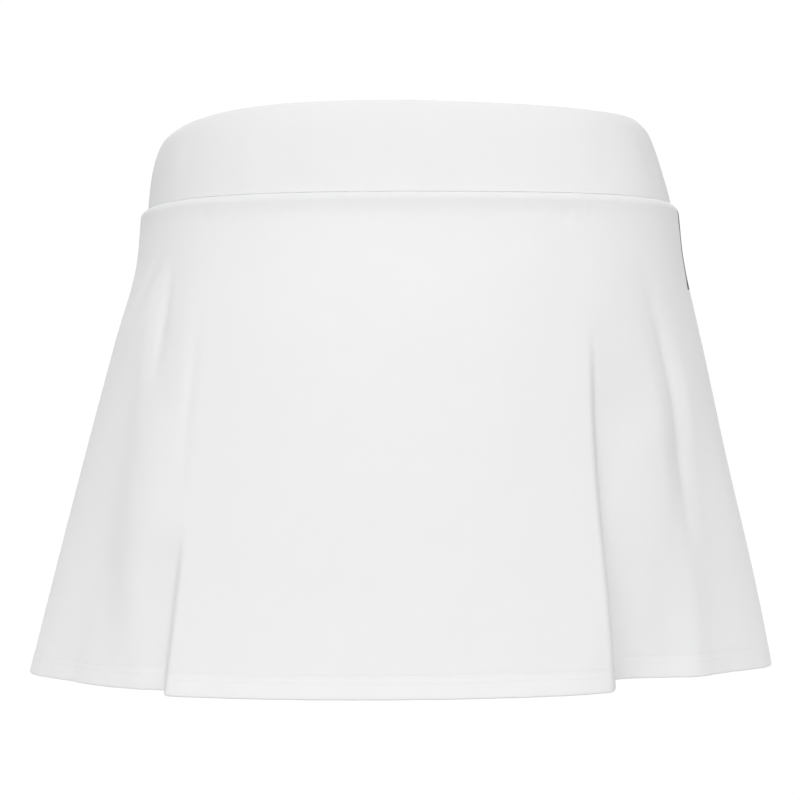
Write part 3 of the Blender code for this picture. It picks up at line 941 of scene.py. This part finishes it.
def hem_stitches(side, first, last):
    """The coverstitch of one panel's hem: two needle rows and the looped thread inside."""
    bearings = np.linspace(first + HEM_LINE_END, last - HEM_LINE_END, HEM_LINE_POINTS)
    made = []
    for row, drop in zip(("upper", "lower"), NEEDLE_DROPS):
        points = hung_row(bearings, drop, STITCH_SUNK - hem_surface(drop))
        made.append(sewn(f"{side}_hem_{row}_stitches", needle_stitches, points, "skirt_knit",
                         STITCH_SEED, Pitch=STITCH_PITCH, Gap=STITCH_GAP,
                         Thickness=STITCH_THICKNESS))
    inside = LOOPER_INSIDE + hem_bump(bearings, LOOPER_DROP)
    middle = hung_row(bearings, LOOPER_DROP, inside)
    lower = hung_row(bearings, LOOPER_DROP + LOOPER_HALF_WIDTH, inside)
    made.append(sewn(side + "_hem_looped_thread", overlock, middle, "skirt_knit", LOOPER_SEED,
                     lower - middle, Pitch=LOOPER_PITCH, Thickness=LOOPER_THREAD))
    return made


needle_stitches = needle_stitch_tree()
front_hem = hem_stitches("front", -SIDE_SEAM_BEARING, SIDE_SEAM_BEARING)
back_hem = hem_stitches("back", SIDE_SEAM_BEARING, 360 - SIDE_SEAM_BEARING)


# --------------------------------------------------
# The waistband: two strips of the same knit, each folded double over a flat elastic, joined at
# the sides. The fold is the rim, and both cut edges go down inside the skirt with its allowance.
# --------------------------------------------------
WAISTBAND_WALL = 2.4
WAISTBAND_COLUMNS = 190
WAISTBAND_ROW_SPACING = 2.0
WAISTBAND_EDGE = 0.9
LAYER_STEP = 0.75
BAND_OUTER_PROUD = SKIRT_ALLOWANCE_PROUD - LAYER_STEP
BAND_INNER_PROUD = BAND_OUTER_PROUD - LAYER_STEP
BAND_ALLOWANCE_DROPS = (ALLOWANCE_LENGTH, 6.0, 4.0, 2.4, 1.2, 0.4)
BAND_FOOT = 2.2
BAND_FOOT_HEIGHT = 3
BAND_CLEAR = 0.02
RIM_STEPS = 8
# Steps, in degrees, of the outer leaf's turn at the band's foot, and then over into the seam.
FOOT_TURN = (0, 25, 50, 75)
OVER_TURN = (0, 30, 60, 90)
BAND_OUTER_TURN = (Turn(0.40, 0.60), Turn(0.42, 0.45), Turn(0.48, 0.28), Turn(0.64, 0.13),
                   Turn(0.95, 0.04), Turn(1.30, 0.00))
BAND_INNER_TURN = tuple(Turn(turn.away, -turn.inside) for turn in BAND_OUTER_TURN)
# The elastic inside makes faint, uneven upright waves.
BAND_WAVES = (Ripple(23.0, 0.16, 10.0), Ripple(14.5, 0.12, 75.0), Ripple(8.3, 0.07, 200.0))


def band_ring(bearing, drop, inside):
    """A row of the waistband inside its outline, with the elastic's faint waves."""
    flat_share = math.sin(math.pi * np.clip((drop + WAISTBAND_HEIGHT) / WAISTBAND_HEIGHT, 0, 1))
    waves = sum(wave.depth * np.sin(2 * math.pi * (bearing + wave.shift) / wave.length)
                for wave in BAND_WAVES)
    points, out = oval(bearing, drop)
    return points - out * (inside + flat_share * waves)[..., None]


def band_row(drop, inside, tuck):
    """A row inside the waistband's outer leaf."""
    return ClothRow(lambda bearing: band_ring(bearing, drop, inside), tuck, drop)


def band_rows():
    """Rows of a waistband strip: up its inner leaf, over the rim and down its outer leaf."""
    half = KNIT_THICKNESS / 2
    rim_radius = WAISTBAND_WALL / 2 - half
    rim_drop = -WAISTBAND_HEIGHT + half + rim_radius
    inner_inside = WAISTBAND_WALL - half
    rows = []
    for drop in BAND_ALLOWANCE_DROPS:
        rows.append(level_row(drop, BAND_INNER_PROUD, 1))
    steps = round((-BAND_FOOT - rim_drop) / WAISTBAND_ROW_SPACING)
    leaf_drops = np.linspace(rim_drop, -BAND_FOOT, steps + 1)
    for drop in leaf_drops[::-1]:
        foot = np.clip((drop + BAND_FOOT + BAND_FOOT_HEIGHT) / BAND_FOOT_HEIGHT, 0, 1)
        inside = inner_inside + (-BAND_INNER_PROUD - inner_inside) * foot * foot
        rows.append(band_row(drop, inside, 1))
    for turn in np.linspace(0, math.pi, RIM_STEPS + 1)[1:-1]:
        drop = rim_drop - rim_radius * math.sin(turn)
        inside = half + rim_radius * (1 + math.cos(turn))
        rows.append(band_row(drop, inside, 1 - turn / math.pi))
    rows += [band_row(drop, half, 0) for drop in leaf_drops]

    foot_radius = ROLL_START - half
    for turn in np.radians(FOOT_TURN):
        drop = SEAM_DROP - half - BAND_CLEAR - foot_radius * (1 - math.sin(turn))
        proud = -ROLL_START + foot_radius * math.cos(turn)
        rows.append(level_row(drop, proud, 0, finish_drop=drop))
    over_radius = half + ALLOWANCE_TURN + half + BAND_CLEAR
    over_drop = SEAM_DROP + half + ALLOWANCE_TURN
    for turn in np.radians(OVER_TURN):
        drop = over_drop - over_radius * math.cos(turn)
        proud = -ROLL_START - over_radius * math.sin(turn)
        rows.append(level_row(drop, proud, 0))
    for drop in np.linspace(over_drop, ALLOWANCE_LENGTH, ALLOWANCE_ROWS)[1:]:
        rows.append(level_row(drop, BAND_OUTER_PROUD, 0))
    return rows


def waistband_strip(name, node, first, last, knit):
    """One folded strip of the waistband from side seam to side seam."""
    rows = band_rows()
    bearings = np.linspace(first + WAISTBAND_EDGE, last - WAISTBAND_EDGE, WAISTBAND_COLUMNS)
    points = np.array([turned_in(row, bearings, first, last, BAND_OUTER_TURN, BAND_INNER_TURN)
                       for row in rows])
    drops = np.array([row.drop for row in rows])
    strip = cloth_piece(name, points, drops, KNIT_THICKNESS, knit, knit)
    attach(strip, "root")
    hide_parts(node)
    return strip


doubled_knit = smooth_knit("doubled_knit", BAND_WHITE)
front_band = waistband_strip("front_band", "waistband_front", -SIDE_SEAM_BEARING,
                             SIDE_SEAM_BEARING, doubled_knit)
back_band = waistband_strip("back_band", "waistband_back", SIDE_SEAM_BEARING,
                            360 - SIDE_SEAM_BEARING, doubled_knit)

# --------------------------------------------------
# The waist seam: the skirt's edge and both edges of the band hang down inside, overlocked
# together. The band strips were cut flat, twice the band's height and its edges deep.
# --------------------------------------------------
WAIST_OVERLOCK_DROP = 5.7
WAIST_OVERLOCK_HALF_WIDTH = 2.4
WAIST_LINE_POINTS = 500
WAIST_LINE_END = 0.6
WAIST_SEED = 5


def waist_overlock(side, first, last):
    """The overlock thread inside one half of the waist seam."""
    bearings = np.linspace(first + WAIST_LINE_END, last - WAIST_LINE_END, WAIST_LINE_POINTS)
    proud = BAND_INNER_PROUD - KNIT_THICKNESS / 2 - THREAD_OFF_CLOTH
    points = level_ring(bearings, WAIST_OVERLOCK_DROP, proud)
    down = np.zeros_like(points)
    down[:, 2] = -WAIST_OVERLOCK_HALF_WIDTH
    return sewn(side + "_waist_overlock", overlock, points, "waistband_knit", WAIST_SEED, down,
                Pitch=OVERLOCK_PITCH, Thickness=OVERLOCK_THREAD)


front_overlock = waist_overlock("front", -SIDE_SEAM_BEARING, SIDE_SEAM_BEARING)
back_overlock = waist_overlock("back", SIDE_SEAM_BEARING, 360 - SIDE_SEAM_BEARING)
